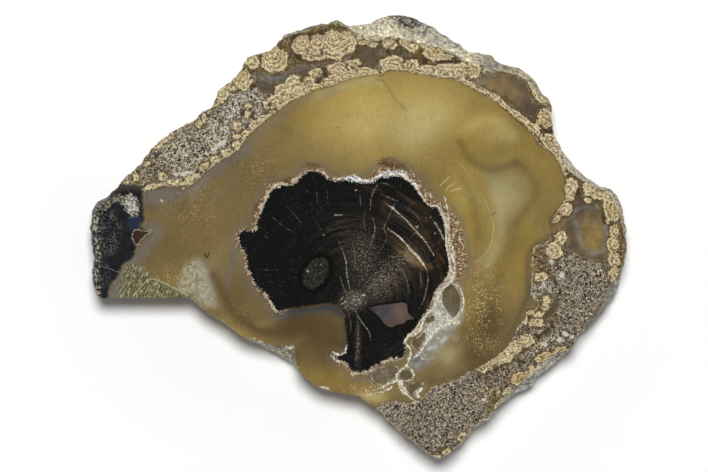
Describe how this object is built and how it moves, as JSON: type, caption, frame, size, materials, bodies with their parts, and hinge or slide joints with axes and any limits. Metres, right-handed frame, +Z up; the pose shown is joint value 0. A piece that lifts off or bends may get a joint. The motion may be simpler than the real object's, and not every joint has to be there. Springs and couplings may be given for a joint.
{
  "type": "petrified wood slice",
  "caption": "Polished slab cut across a petrified limb, black wood core in honey agate with a lumpy stone rind, lies flat for display",
  "frame": {"origin": "Middle of the bounding box at the sawn back face, which lies on the table, z = 0.", "axes": "+Z is up, out of the polished face. +X runs along the slice, from the straight-sawn dark corner to the rounded rind. +Y is towards the thick sloping skin at the top of the picture."},
  "size_m": [0.1346, 0.1113, 0.014],
  "materials": {
    "polished_agate": "gloss"
  },
  "bodies": {
    "root": {"petrified_wood_slice": "polished_agate"}
  },
  "joints": []
}
